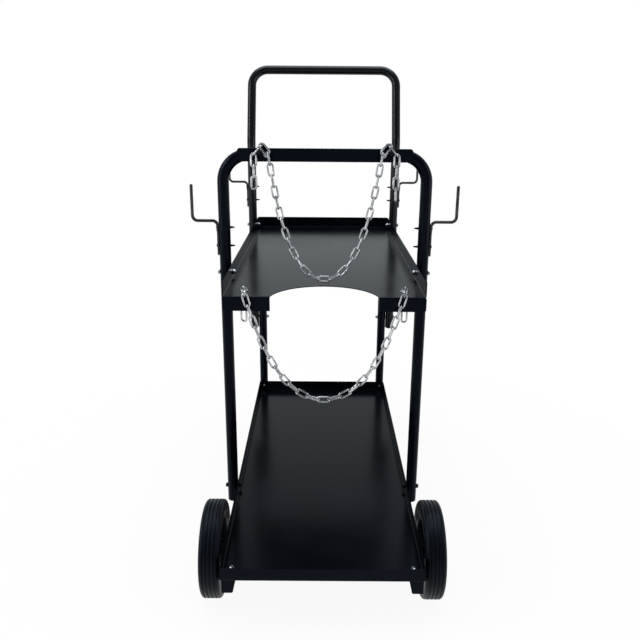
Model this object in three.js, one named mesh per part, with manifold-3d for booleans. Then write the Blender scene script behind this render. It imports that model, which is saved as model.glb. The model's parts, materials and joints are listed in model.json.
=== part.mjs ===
// Welding cart: two pressed steel trays bolted between bent tubes, with a gas-cylinder
// recess and two retaining chains at the back, a push handle and swivel casters at the front.
//
// Millimetres, +Z up. While the pieces are made, x = 0 is the middle of the cart, y = 0 is
// the rear axle and z = 0 is the ground. The last lines centre the cart on its own footprint.

import * as THREE from 'three';
import { mergeVertices } from 'three/addons/utils/BufferGeometryUtils.js';
import Module from 'manifold-3d';

const wasm = await Module();
wasm.setup();

// Clearances
const seatGap = 0.3;
const holeGap = 0.35;

// Pressed steel trays
const trayWidth = 355;
const sheet = 1.5;
const bendRadius = 3;
const lipCorner = 4;
const bottomNear = -113;
const bottomLength = 851;
const bottomFloor = 101;
const bottomFlange = 25;
const upperNear = 38;
const upperLength = 740;
const upperFloor = 565.5;
const upperFlange = 27.5;
const apronDepth = 26;
const recessRadius = 97;
const recessDepth = 78.5;
const keyholeEdge = 33.5;
const keyholeInset = 35;
const keyholeRound = 16;
const keyholeSlot = 6;
const keyholeRun = 15;

// Bent tubes
const tubeOuter = 22;
const tubeWall = 1.5;
const frameY = 185;
const frameBottom = 82;
const frameTop = 797.5;
const frameBend = 50;
const handleBottom = 289;
const handleKink = 797;
const handleTop = 973.5;
const handleLean = 20;
const handleBend = 42;
const kinkBend = 60;
const legBottom = 80;
const legTop = 410;
const legGap = 0.3;
const plugDepth = 12;
const plugDome = 4;

// Crossbar and the pegs that the upper chain hangs on
const barHalfLength = 160;
const barHeight = 24;
const barThickness = 3;
const barCorner = 5;
const barBoltX = 106.5;
const earHeight = 7;
const earTop = 7;
const earBase = 24;
const pegX = 113.6;
const pegRadius = 3;
const pegOverhang = 4;
const pegStandOff = 29.35;

// Cable hooks
const hookRod = 6;
const hookReach = 47;
const hookRise = 68;
const hookBend = 10;
const hookStrapWidth = 10;
const hookStrapThickness = 3;
const hookStrapLength = 63;
const hookStrapDrop = 3;
const nearHookHeight = 675;
const farHookHeight = 690;

// Rear axle, its brackets and the two fixed wheels
const wheelRadius = 89;
const tyreWidth = 38;
const tyreBead = 60;
const wheelSideGap = 4.5;
const treadGrooves = 4;
const treadGrooveDepth = 2;
const treadGrooveWidth = 3;
const rimThickness = 4;
const rimWeb = 6;
const rimWindows = 5;
const rimWindowLength = 25;
const hubRadius = 17;
const hubNeck = 10;
const hubOutset = 13;
const wheelFacets = 20;
const axleRadius = 6;
const axleNutSize = 19;
const axleNutLength = 6;
const bracketWidth = 25;
const bracketHeight = 25;
const bracketWall = 2.5;
const bracketTaper = 5;
const bracketInset = 2.5;
const bracketFront = 2;
const bracketBack = 30;

// Swivel casters in the front legs
const casterRadius = 31.5;
const casterWidth = 22;
const casterRim = 24;
const casterHubRadius = 9;
const casterTrail = 22;
const casterSideGap = 2;
const forkWall = 2.5;
const forkCrown = 3;
const raceRadius = 17;
const raceHeight = 6;
const stemFlange = 3;
const stemFlangeRadius = 12;
const stemClear = 3;
const kingpinRadius = 4;
const kingpinHead = 3;
const casterAxleRadius = 4;
const casterFacets = 12;

// Bolts
const boltRadius = 3;
const boltHeadSize = 10;
const boltHeadHeight = 4;
const nutHeight = 5;
const threadEnd = 3;
const frameBoltLow = 113.5;
const trayBoltHigh = 577;
const legBoltLow = 318;
const legBoltHigh = 385;
const bracketBoltEdge = 16.5;
const bracketBoltY = -80;

// Chains
const upperPitch = 19.5;
const lowerPitch = 20.3;
const linkWire = 3.5;
const linkWidth = 12.9;
const linkBite = 0.3;
const upperLinks = 27;
const upperEntry = 49;
const upperPeak = 818;
const tailLean = 48;
const tailLinksLeft = 3;
const tailLinksRight = 4;
const lowerLinks = 25;
const lowerRestShift = 6;
const lowerTailLinks = 3;
const lowerTailTwist = 36;

// Places that follow from the sizes above
const trayHalf = trayWidth / 2;
const keyholeX = trayHalf - keyholeEdge;
const lowerRestX = keyholeX - lowerRestShift;
const bracketBoltX = trayHalf - bracketBoltEdge;
const tubeRadius = tubeOuter / 2;
const bottomFar = bottomNear + bottomLength;
const upperFar = upperNear + upperLength;
const frameX = trayHalf + seatGap + tubeRadius;
const legX = frameX - tubeOuter - legGap;
const handleY = bottomFar + seatGap + tubeRadius;
const leanSlope = Math.tan(THREE.MathUtils.degToRad(handleLean));
const handleTopY = handleY + (handleTop - handleKink) * leanSlope;
const barFront = frameY - tubeRadius - seatGap - barThickness;
const barBottom = frameTop - barHeight / 2;
const barTop = frameTop + barHeight / 2;
const wheelX = trayHalf + wheelSideGap + tyreWidth / 2;
const bracketOuter = trayHalf - bracketInset;
const bracketTop = bottomFloor - seatGap;
const bracketBottom = bracketTop - bracketHeight;
const casterTurnTop = legBottom - seatGap - stemFlange - raceHeight;
const chainHalf = linkWidth / 2;
const linkInside = (linkWire - linkBite) / 2;
const linkApart = linkBite + seatGap;
const upperChainY = barFront - boltHeadHeight - chainHalf - 3 * seatGap - pegStandOff;
const lowerChainY = upperNear - chainHalf - 2 * seatGap;

// Materials
function paint(colour, roughness, metalness) {
  return new THREE.MeshStandardMaterial({ color: colour, roughness, metalness });
}
const blackCoat = paint('#17181a', 0.38, 0.2);
const zinc = paint('#b9bcc0', 0.32, 0.9);
const rubber = paint('#141414', 0.85, 0);
const blackPlastic = paint('#1b1b1c', 0.55, 0);

// Solids: a closed geometry becomes a solid that can be joined and cut, and comes back again.
function solid(geometry) {
  const bare = new THREE.BufferGeometry();
  bare.setAttribute('position', geometry.getAttribute('position'));
  if (geometry.index) bare.setIndex(geometry.index);
  const merged = mergeVertices(bare, 1e-4);
  const corners = merged.index.array;
  const kept = [];
  for (let i = 0; i < corners.length; i += 3) {
    const [a, b, c] = [corners[i], corners[i + 1], corners[i + 2]];
    if (a !== b && b !== c && c !== a) kept.push(a, b, c);
  }
  const vertProperties = new Float32Array(merged.getAttribute('position').array);
  const triVerts = new Uint32Array(kept);
  return new wasm.Manifold(new wasm.Mesh({ numProp: 3, vertProperties, triVerts }));
}

function surface(body) {
  const mesh = body.getMesh();
  const geometry = new THREE.BufferGeometry();
  geometry.setAttribute('position', new THREE.BufferAttribute(mesh.vertProperties, 3));
  geometry.setIndex(new THREE.BufferAttribute(mesh.triVerts, 1));
  geometry.computeVertexNormals();
  return geometry;
}

function join(...bodies) {
  return bodies.reduce((whole, next) => whole.add(next));
}

function cut(body, ...tools) {
  return tools.reduce((whole, tool) => whole.subtract(tool), body);
}

// A block between two corners.
function block(low, high) {
  const size = high.map((value, i) => value - low[i]);
  const geometry = new THREE.BoxGeometry(...size);
  geometry.translate(...low.map((value, i) => value + size[i] / 2));
  return solid(geometry);
}

// Turns a geometry whose own axis is Y, so that it runs along x, y or z.
function aim(geometry, axis) {
  if (axis === 'x') geometry.rotateZ(-Math.PI / 2);
  if (axis === 'z') geometry.rotateX(Math.PI / 2);
  return geometry;
}

function moveTo(geometry, axis, along, across) {
  if (axis === 'x') geometry.translate(along, across[0], across[1]);
  if (axis === 'y') geometry.translate(across[0], along, across[1]);
  if (axis === 'z') geometry.translate(across[0], across[1], along);
  return geometry;
}

// A round bar between two places on an axis; across holds the other two coordinates.
function bar(axis, radius, from, to, across, sides = 12) {
  const geometry = new THREE.CylinderGeometry(radius, radius, Math.abs(to - from), sides);
  return solid(moveTo(aim(geometry, axis), axis, (from + to) / 2, across));
}

function hexagon(axis, acrossFlats, from, to, across) {
  return bar(axis, acrossFlats / Math.sqrt(3), from, to, across, 6);
}

// A profile of [radius, distance] pairs turned about an axis. The profile runs
// counter-clockwise; side -1 turns it round to face the other way.
function turned(axis, profile, along, across, segments, side = 1) {
  const closed = [...profile, profile[0]];
  const points = closed.map(([radius, height]) => new THREE.Vector2(radius, height));
  const geometry = new THREE.LatheGeometry(points, segments);
  if (side < 0) geometry.rotateX(Math.PI);
  return solid(moveTo(aim(geometry, axis), axis, along, across));
}

// A flat outline given depth along an axis. The outline lies in (y, z) for x, in (x, z)
// for y and in (x, y) for z.
function prism(axis, outline, from, to, curveSegments = 4) {
  const depth = to - from;
  const options = { depth, bevelEnabled: false, curveSegments };
  const geometry = new THREE.ExtrudeGeometry(outline, options);
  const place = new THREE.Matrix4();
  const x = new THREE.Vector3(1, 0, 0);
  const y = new THREE.Vector3(0, 1, 0);
  const z = new THREE.Vector3(0, 0, 1);
  if (axis === 'x') place.makeBasis(y, z, x).setPosition(from, 0, 0);
  if (axis === 'y') place.makeBasis(x, z, y.clone().negate()).setPosition(0, to, 0);
  if (axis === 'z') place.setPosition(0, 0, from);
  return solid(geometry.applyMatrix4(place));
}

function polygon(points) {
  return new THREE.Shape(points.map(([x, y]) => new THREE.Vector2(x, y)));
}

function roundedRectangle(x0, x1, y0, y1, radius) {
  const shape = new THREE.Shape();
  shape.moveTo(x0 + radius, y0);
  shape.lineTo(x1 - radius, y0);
  shape.absarc(x1 - radius, y0 + radius, radius, -Math.PI / 2, 0);
  shape.lineTo(x1, y1 - radius);
  shape.absarc(x1 - radius, y1 - radius, radius, 0, Math.PI / 2);
  shape.lineTo(x0 + radius, y1);
  shape.absarc(x0 + radius, y1 - radius, radius, Math.PI / 2, Math.PI);
  shape.lineTo(x0, y0 + radius);
  shape.absarc(x0 + radius, y0 + radius, radius, Math.PI, Math.PI * 1.5);
  return shape;
}

function circle(radius, sides) {
  const points = [];
  for (let i = 0; i < sides; i += 1) {
    const angle = (2 * Math.PI * (i + 0.5)) / sides;
    points.push(new THREE.Vector2(radius * Math.cos(angle), radius * Math.sin(angle)));
  }
  return points;
}

// The centre line of a bent tube or rod: straight runs joined by round bends. It has a
// station at each end and along each bend, and none on the straight runs.
class BentLine extends THREE.Curve {
  constructor(corners, radii, bendSteps) {
    super();
    this.stations = [];
    const points = corners.map((corner) => new THREE.Vector3(...corner));
    const run = (i) => points[i + 1].clone().sub(points[i]).normalize();
    this.stations.push({ point: points[0], tangent: run(0) });
    for (let i = 1; i < points.length - 1; i += 1) {
      this.addBend(points[i], run(i - 1), run(i), radii[i - 1], bendSteps);
    }
    const last = points.length - 1;
    this.stations.push({ point: points[last], tangent: run(last - 1) });
  }

  addBend(corner, into, out, radius, bendSteps) {
    const turn = into.angleTo(out);
    const setback = radius * Math.tan(turn / 2);
    const start = corner.clone().addScaledVector(into, -setback);
    const inward = out.clone().addScaledVector(into, -out.dot(into)).normalize();
    const centre = start.clone().addScaledVector(inward, radius);
    const steps = Math.max(2, Math.round((bendSteps * turn) / (Math.PI / 2)));
    for (let k = 0; k <= steps; k += 1) {
      const angle = (turn * k) / steps;
      const point = centre.clone().addScaledVector(inward, -radius * Math.cos(angle));
      point.addScaledVector(into, radius * Math.sin(angle));
      const tangent = into.clone().multiplyScalar(Math.cos(angle));
      tangent.addScaledVector(inward, Math.sin(angle));
      this.stations.push({ point, tangent });
    }
  }

  get steps() {
    return this.stations.length - 1;
  }

  getPoint(t) {
    return this.stations[Math.round(t * this.steps)].point.clone();
  }

  getPointAt(u) {
    return this.getPoint(u);
  }

  getTangentAt(u) {
    return this.stations[Math.round(u * this.steps)].tangent.clone();
  }
}

function bentRod(line, radius, sides) {
  const section = new THREE.Shape(circle(radius, sides));
  const options = { steps: line.steps, extrudePath: line, bevelEnabled: false };
  return solid(new THREE.ExtrudeGeometry(section, options));
}

function bentTube(line) {
  const section = new THREE.Shape(circle(tubeRadius, 12));
  section.holes.push(new THREE.Path(circle(tubeRadius - tubeWall, 6)));
  const options = { steps: line.steps, extrudePath: line, bevelEnabled: false };
  return solid(new THREE.ExtrudeGeometry(section, options));
}

// Bolts and the holes that they pass through. A bolt runs along an axis from the seat of
// its head to the seat of its nut, with a little thread past the nut.
function bolt(axis, headSeat, nutSeat, across) {
  const way = Math.sign(nutSeat - headSeat);
  const head = headSeat - way * seatGap;
  const nut = nutSeat + way * seatGap;
  const headEnd = head - way * boltHeadHeight;
  const nutEnd = nut + way * nutHeight;
  return join(
    bar(axis, boltRadius, headEnd, nutEnd + way * threadEnd, across, 6),
    hexagon(axis, boltHeadSize, headEnd, head, across),
    hexagon(axis, boltHeadSize, nut, nutEnd, across),
  );
}

function boltHole(axis, from, to, across) {
  return bar(axis, boltRadius + holeGap, from, to, across, 6);
}

// Trays: a U-shaped pressing for the floor and both sides, with a lip across each end.
function uPressing(near, far, floor, flange) {
  const inner = trayHalf - sheet;
  const bend = bendRadius - sheet;
  const top = floor + flange;
  const shape = new THREE.Shape();
  shape.moveTo(-trayHalf, top);
  shape.lineTo(-trayHalf, floor + bendRadius);
  shape.absarc(-trayHalf + bendRadius, floor + bendRadius, bendRadius, Math.PI, Math.PI * 1.5);
  shape.lineTo(trayHalf - bendRadius, floor);
  shape.absarc(trayHalf - bendRadius, floor + bendRadius, bendRadius, -Math.PI / 2, 0);
  shape.lineTo(trayHalf, top);
  shape.lineTo(inner, top);
  shape.lineTo(inner, floor + bendRadius);
  shape.absarc(inner - bend, floor + bendRadius, bend, 0, -Math.PI / 2, true);
  shape.lineTo(-inner + bend, floor + sheet);
  shape.absarc(-inner + bend, floor + bendRadius, bend, -Math.PI / 2, -Math.PI, true);
  shape.lineTo(-inner, top);
  return prism('y', shape, near, far, 2);
}

// A lip along x at the edge y, bent up (rise 1) or down (rise -1) from the floor sheet.
// way is 1 where the tray lies on the +y side of the lip.
function endLip(edge, way, floor, depth, rise) {
  const base = rise > 0 ? floor : floor + sheet;
  const place = (out, up) => [edge + way * (bendRadius - out), base + rise * up];
  const points = [place(-2, 0)];
  for (let k = 0; k <= 3; k += 1) {
    const angle = (Math.PI / 2) * (k / 3);
    points.push(place(bendRadius * Math.sin(angle), bendRadius * (1 - Math.cos(angle))));
  }
  points.push(place(bendRadius, depth), place(bendRadius - sheet, depth));
  const bend = bendRadius - sheet;
  for (let k = 3; k >= 0; k -= 1) {
    const angle = (Math.PI / 2) * (k / 3);
    points.push(place(bend * Math.sin(angle), bendRadius - bend * Math.cos(angle)));
  }
  points.push(place(-2, sheet));
  const strip = prism('x', polygon(points), -trayHalf, trayHalf);
  const low = Math.min(base, base + rise * depth);
  const face = roundedRectangle(-trayHalf, trayHalf, low, low + depth, lipCorner);
  const span = [edge - 5, edge + 5].map((value) => value + way * bendRadius);
  return strip.intersect(prism('y', face, span[0], span[1], 2));
}

function sideHoles(y, z) {
  const reach = 5;
  return [-1, 1].map((side) => {
    const x = side * trayHalf;
    return boltHole('x', x - reach, x + reach, [y, z]);
  });
}

function bottomTray() {
  const pan = join(
    uPressing(bottomNear + bendRadius, bottomFar - bendRadius, bottomFloor, bottomFlange),
    endLip(bottomNear, 1, bottomFloor, bottomFlange, 1),
    endLip(bottomFar, -1, bottomFloor, bottomFlange, 1),
  );
  const holes = sideHoles(frameY, frameBoltLow);
  for (const side of [-1, 1]) {
    const x = side * legX;
    holes.push(boltHole('y', bottomFar - 5, bottomFar + 5, [x, frameBoltLow]));
    const place = [side * bracketBoltX, bracketBoltY];
    holes.push(boltHole('z', bottomFloor - 5, bottomFloor + 5, place));
  }
  return cut(pan, ...holes);
}

// The keyhole drops a chain link edge-on into its slot; the round end lets the chain through.
function keyhole(side) {
  const x = side * keyholeX;
  const y = upperNear + keyholeInset;
  const near = y - chainHalf - seatGap - keyholeSlot / 2;
  const roundY = near + keyholeRun + keyholeRound / 2;
  const low = upperFloor - 2;
  const high = upperFloor + sheet + 2;
  const slot = roundedRectangle(
    x - keyholeSlot / 2, x + keyholeSlot / 2, near, roundY, keyholeSlot * 0.49,
  );
  return join(
    prism('z', slot, low, high, 2),
    bar('z', keyholeRound / 2, low, high, [x, roundY], 12),
  );
}

function upperTray() {
  const pan = join(
    uPressing(upperNear + bendRadius, upperFar - bendRadius, upperFloor, upperFlange),
    endLip(upperNear, 1, upperFloor, apronDepth, -1),
    endLip(upperFar, -1, upperFloor, upperFlange, 1),
  );
  const recessY = upperNear + recessDepth - recessRadius;
  const recess = bar(
    'z', recessRadius, upperFloor - 2 * apronDepth, upperFloor + upperFlange, [0, recessY], 48,
  );
  return cut(
    pan, recess, keyhole(-1), keyhole(1),
    ...sideHoles(frameY, trayBoltHigh), ...sideHoles(handleY, trayBoltHigh),
  );
}

// Tubes
function cylinderFrame() {
  const line = new BentLine(
    [
      [-frameX, frameY, frameBottom],
      [-frameX, frameY, frameTop],
      [frameX, frameY, frameTop],
      [frameX, frameY, frameBottom],
    ],
    [frameBend, frameBend],
    5,
  );
  const holes = [];
  for (const side of [-1, 1]) {
    const ends = [side * frameX - tubeOuter, side * frameX + tubeOuter];
    holes.push(boltHole('x', ...ends, [frameY, frameBoltLow]));
    holes.push(boltHole('x', ...ends, [frameY, trayBoltHigh]));
    const depth = [frameY - tubeOuter, frameY + tubeOuter];
    holes.push(boltHole('y', ...depth, [side * barBoltX, frameTop]));
  }
  return cut(bentTube(line), ...holes);
}

function pushHandle() {
  const line = new BentLine(
    [
      [-frameX, handleY, handleBottom],
      [-frameX, handleY, handleKink],
      [-frameX, handleTopY, handleTop],
      [frameX, handleTopY, handleTop],
      [frameX, handleY, handleKink],
      [frameX, handleY, handleBottom],
    ],
    [kinkBend, handleBend, handleBend, kinkBend],
    5,
  );
  const holes = [];
  for (const side of [-1, 1]) {
    const ends = [side * frameX - tubeOuter, side * frameX + tubeOuter];
    for (const z of [legBoltLow, legBoltHigh, trayBoltHigh]) {
      holes.push(boltHole('x', ...ends, [handleY, z]));
    }
  }
  return cut(bentTube(line), ...holes);
}

function lowerLeg(side) {
  const x = side * legX;
  const line = new BentLine([[x, handleY, legBottom], [x, handleY, legTop]], [], 1);
  const ends = [x - tubeOuter, x + tubeOuter];
  const depth = [handleY - tubeOuter, handleY + tubeOuter];
  return cut(
    bentTube(line),
    boltHole('x', ...ends, [handleY, legBoltLow]),
    boltHole('x', ...ends, [handleY, legBoltHigh]),
    boltHole('y', ...depth, [x, frameBoltLow]),
  );
}

// A domed plastic plug in the open lower end of a tube.
function tubePlug(x, y, z) {
  const neck = (tubeRadius - tubeWall) * Math.cos(Math.PI / 6) - seatGap;
  const profile = [
    [0, -plugDome],
    [tubeRadius * 0.6, -plugDome * 0.85],
    [tubeRadius - 0.5, -plugDome * 0.3],
    [tubeRadius, -seatGap],
    [neck, -seatGap],
    [neck, plugDepth],
    [0, plugDepth],
  ];
  return turned('z', profile, z, [x, y], 10);
}

// Crossbar with an ear behind each chain peg.
function crossbar() {
  const plate = roundedRectangle(-barHalfLength, barHalfLength, barBottom, barTop, barCorner);
  const body = [prism('y', plate, barFront, barFront + barThickness, 3)];
  const holes = [];
  for (const side of [-1, 1]) {
    const x = side * pegX;
    const ear = polygon([
      [x - earBase / 2, barTop - 1],
      [x + earBase / 2, barTop - 1],
      [x + earTop / 2, barTop + earHeight],
      [x - earTop / 2, barTop + earHeight],
    ]);
    body.push(prism('y', ear, barFront, barFront + barThickness));
    const depth = [barFront - 5, barFront + barThickness + 5];
    holes.push(boltHole('y', ...depth, [side * barBoltX, frameTop]));
  }
  return cut(join(...body), ...holes);
}

// The peg stands out from the bar in the angle between the two links that lie over it.
function chainPeg(side) {
  const entry = THREE.MathUtils.degToRad(upperEntry);
  const lean = THREE.MathUtils.degToRad(tailLean);
  const clearDrape = chainHalf + seatGap + pegRadius;
  const spread = Math.sin(entry + lean);
  const tailShift = (linkInside + linkApart) * spread;
  const clearTail = linkWire / 2 + 5 * seatGap + pegRadius + tailShift;
  const inward = (clearTail * Math.cos(entry) - clearDrape * Math.cos(lean)) / spread;
  const below = (clearTail * Math.sin(entry) + clearDrape * Math.sin(lean)) / spread;
  const across = [side * (pegX - inward), upperPeak - below];
  const tip = upperChainY - linkWire / 2 - pegOverhang;
  return bar('y', pegRadius, tip, barFront - seatGap, across, 12);
}

// A bent rod with a flat strap: the strap lies on the outside of a tube, the rod reaches out.
function cableHook(side, y, height) {
  const face = frameX + tubeRadius + seatGap;
  const middle = side * (face + hookStrapThickness / 2);
  const tip = side * (face + hookStrapThickness / 2 + hookReach);
  const strapTop = height - hookStrapDrop;
  const line = new BentLine(
    [
      [middle, y, height - hookBend - hookRod],
      [middle, y, height],
      [tip, y, height],
      [tip, y, height + hookRise],
    ],
    [hookBend, hookBend],
    3,
  );
  const half = hookStrapWidth / 2;
  const strap = roundedRectangle(
    y - half, y + half, strapTop - hookStrapLength, strapTop, half * 0.98,
  );
  const outer = side * (face + hookStrapThickness);
  const sides = [side * face, outer].sort((a, b) => a - b);
  const rod = bentRod(line, hookRod / 2, 6);
  const wide = [side * face, side * (face + 2 * hookReach)].sort((a, b) => a - b);
  const low = strapTop - hookStrapLength;
  const clear = block([wide[0], y - half, low], [wide[1], y + half, height + 2 * hookRise]);
  return join(prism('x', strap, ...sides, 3), rod.intersect(clear));
}

// Rear axle, brackets, wheels
function axleBracket(side) {
  const outer = bracketOuter;
  const inner = bracketOuter - bracketWidth;
  const wall = bracketWall;
  const shell = polygon([
    [side * outer, bracketTop],
    [side * inner, bracketTop],
    [side * (inner + bracketTaper), bracketBottom + 2],
    [side * (inner + bracketTaper + 2), bracketBottom],
    [side * outer, bracketBottom],
  ]);
  const hollow = polygon([
    [side * (outer - wall), bracketTop - wall],
    [side * (inner + wall), bracketTop - wall],
    [side * (inner + bracketTaper + wall), bracketBottom - 1],
    [side * (outer - wall), bracketBottom - 1],
  ]);
  const front = bottomNear + bracketFront;
  const place = [side * bracketBoltX, bracketBoltY];
  const axleAt = [0, wheelRadius];
  return cut(
    prism('y', shell, front, bracketBack),
    prism('y', hollow, front + wall, bracketBack + 1),
    boltHole('z', bracketBottom, bracketTop + 1, place),
    bar('x', axleRadius + holeGap, side * (inner - 2), side * (outer + 2), axleAt, 12),
  );
}

function wheelTyre(side) {
  const half = tyreWidth / 2;
  const bead = tyreBead + seatGap;
  const treadHalf = half * 0.74;
  const profile = [
    [bead, -half * 0.8],
    [bead + 0.35 * (wheelRadius - bead), -half * 0.95],
    [bead + 0.65 * (wheelRadius - bead), -half],
    [wheelRadius - 4, -half * 0.93],
    [wheelRadius - 0.8, -treadHalf],
  ];
  for (let i = 0; i < treadGrooves; i += 1) {
    const middle = treadHalf * ((2 * i + 1) / treadGrooves - 1);
    profile.push([wheelRadius, middle - treadGrooveWidth / 2]);
    profile.push([wheelRadius - treadGrooveDepth, middle]);
    profile.push([wheelRadius, middle + treadGrooveWidth / 2]);
  }
  profile.push(
    [wheelRadius - 0.8, treadHalf],
    [wheelRadius - 4, half * 0.93],
    [bead + 0.65 * (wheelRadius - bead), half],
    [bead + 0.35 * (wheelRadius - bead), half * 0.95],
    [bead, half * 0.8],
  );
  return turned('x', profile, side * wheelX, [0, wheelRadius], wheelFacets);
}

function wheelRim(side) {
  const half = tyreWidth * 0.4;
  const barrel = tyreBead - rimThickness;
  const bore = axleRadius + holeGap;
  const hubInset = wheelX - bracketOuter - 2 * seatGap;
  const hubShoulder = wheelX - trayHalf - 2 * seatGap;
  const profile = [
    [bore, -hubInset],
    [hubNeck, -hubInset],
    [hubNeck, -hubShoulder],
    [hubRadius, -hubShoulder],
    [hubRadius, -rimWeb / 2],
    [barrel, -rimWeb / 2],
    [barrel, -half],
    [tyreBead, -half],
    [tyreBead, half],
    [barrel, half],
    [barrel, rimWeb / 2],
    [hubRadius, rimWeb / 2],
    [hubRadius, hubOutset],
    [bore, hubOutset],
  ];
  const rim = turned('x', profile, side * wheelX, [0, wheelRadius], wheelFacets, side);
  const middle = (hubRadius + barrel) / 2;
  const deep = (barrel - hubRadius) * 0.3;
  const windows = [];
  for (let i = 0; i < rimWindows; i += 1) {
    const half = rimWindowLength / 2;
    const shape = roundedRectangle(-half, half, middle - deep, middle + deep, deep * 0.6);
    const geometry = new THREE.ExtrudeGeometry(shape, {
      depth: 2 * rimWeb, bevelEnabled: false, curveSegments: 1,
    });
    geometry.translate(0, 0, -rimWeb);
    geometry.rotateZ((2 * Math.PI * i) / rimWindows);
    geometry.rotateY(Math.PI / 2);
    geometry.translate(side * wheelX, 0, wheelRadius);
    windows.push(solid(geometry));
  }
  return cut(rim, ...windows);
}

const axleEnd = wheelX + hubOutset + 2 * seatGap + axleNutLength;

function axle() {
  return bar('x', axleRadius, -axleEnd + axleNutLength, axleEnd - axleNutLength, [0, wheelRadius]);
}

// A cap nut on the end of the axle, with its own washer face.
function axleNut(side) {
  const face = axleEnd - axleNutLength + seatGap;
  const at = [0, wheelRadius];
  const cap = hexagon('x', axleNutSize, side * face, side * (face + axleNutLength), at);
  const dome = bar(
    'x', axleNutSize * 0.4, side * (face + axleNutLength - 1), side * (face + axleNutLength + 2),
    at, 12,
  );
  return join(cap, dome);
}

// Casters
function casterStem(side) {
  const inside = (tubeRadius - tubeWall) * Math.cos(Math.PI / 6) - seatGap;
  const under = legBottom - seatGap;
  const pinEnd = casterTurnTop - 2 * seatGap - forkCrown - kingpinHead;
  const stemTop = frameBoltLow - boltRadius - stemClear;
  const headRadius = kingpinRadius * 1.6;
  const profile = [
    [0, pinEnd],
    [headRadius, pinEnd],
    [headRadius, pinEnd + kingpinHead],
    [kingpinRadius, pinEnd + kingpinHead],
    [kingpinRadius, casterTurnTop],
    [raceRadius, casterTurnTop],
    [raceRadius - 2, casterTurnTop + raceHeight],
    [stemFlangeRadius, casterTurnTop + raceHeight],
    [stemFlangeRadius, under],
    [inside, under],
    [inside, stemTop],
    [0, stemTop],
  ];
  return turned('z', profile, 0, [side * legX, handleY], 12);
}

const casterY = handleY - casterTrail;
const forkTop = casterTurnTop - seatGap;
const forkInner = casterWidth / 2 + casterSideGap;
const forkOuter = forkInner + forkWall;

function casterFork(side) {
  const x = side * legX;
  const foot = 10;
  const side2d = polygon([
    [handleY + raceRadius, forkTop],
    [handleY - raceRadius - 3, forkTop],
    [casterY - foot - 2, casterRadius + 8],
    [casterY - foot, casterRadius - 4],
    [casterY - foot * 0.5, casterRadius - foot],
    [casterY + foot * 0.5, casterRadius - foot],
    [casterY + foot, casterRadius - 4],
    [handleY + raceRadius, forkTop - 2 * forkCrown],
  ]);
  const between = block(
    [x - forkInner, casterY - 2 * casterRadius, 0],
    [x + forkInner, handleY + 2 * raceRadius, forkTop - forkCrown],
  );
  return cut(
    prism('x', side2d, x - forkOuter, x + forkOuter),
    between,
    bar('z', kingpinRadius + holeGap, forkTop - 2 * forkCrown, forkTop + 1, [x, handleY], 12),
    bar(
      'x', casterAxleRadius + holeGap, x - forkOuter - 1, x + forkOuter + 1,
      [casterY, casterRadius], 8,
    ),
  );
}

function casterAxle(side) {
  const x = side * legX;
  const at = [casterY, casterRadius];
  const seat = forkOuter + seatGap;
  const size = casterAxleRadius * 3.2;
  return join(
    bar('x', casterAxleRadius, x - seat - 4, x + seat + 6, at, 8),
    hexagon('x', size, x - seat - 4, x - seat, at),
    hexagon('x', size, x + seat, x + seat + 5, at),
  );
}

function casterWheel(side) {
  const half = casterWidth / 2;
  const bore = casterAxleRadius + holeGap;
  const hubHalf = forkInner - seatGap;
  const profile = [
    [bore, -hubHalf],
    [casterHubRadius, -hubHalf],
    [casterHubRadius, -3],
    [casterRim - 4, -3],
    [casterRim - 4, -half + 2],
    [casterRim, -half + 2],
    [casterRim, half - 2],
    [casterRim - 4, half - 2],
    [casterRim - 4, 3],
    [casterHubRadius, 3],
    [casterHubRadius, hubHalf],
    [bore, hubHalf],
  ];
  return turned('x', profile, side * legX, [casterY, casterRadius], casterFacets);
}

function casterTyre(side) {
  const half = casterWidth / 2;
  const bead = casterRim + seatGap;
  const profile = [
    [bead, -half + 1],
    [casterRadius - 3, -half],
    [casterRadius, -half + 4],
    [casterRadius, half - 4],
    [casterRadius - 3, half],
    [bead, half - 1],
  ];
  return turned('x', profile, side * legX, [casterY, casterRadius], casterFacets);
}

// Chains. One link is a ring of round wire drawn out along x, flat to y.
function linkGeometry(pitch) {
  const corner = Math.PI / 8;
  const ring = (linkWidth - linkWire) / 2 / Math.cos(corner);
  const section = circle(linkWire / 2, 4).map((point) => {
    const turnedPoint = point.clone().rotateAround(new THREE.Vector2(), Math.PI / 4);
    return new THREE.Vector2(ring + turnedPoint.x / Math.cos(corner), turnedPoint.y);
  });
  const geometry = new THREE.LatheGeometry([...section, section[0]], 8, corner);
  const innerLength = pitch - linkBite;
  const stretch = innerLength / 2 + linkWire / 2 - (linkWidth - linkWire) / 2;
  const position = geometry.getAttribute('position');
  for (let i = 0; i < position.count; i += 1) {
    const x = position.getX(i);
    position.setX(i, x + Math.sign(x) * stretch);
  }
  return geometry;
}

// A link from one point to the next; flat is the direction that its flat side faces.
function link(start, end, flat) {
  const along = end.clone().sub(start).normalize();
  const across = along.clone().cross(flat).normalize();
  const normal = across.clone().cross(along).normalize();
  const place = new THREE.Matrix4().makeBasis(along, normal, across);
  place.setPosition(start.clone().add(end).multiplyScalar(0.5));
  return solid(linkGeometry(start.distanceTo(end)).applyMatrix4(place));
}

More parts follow.
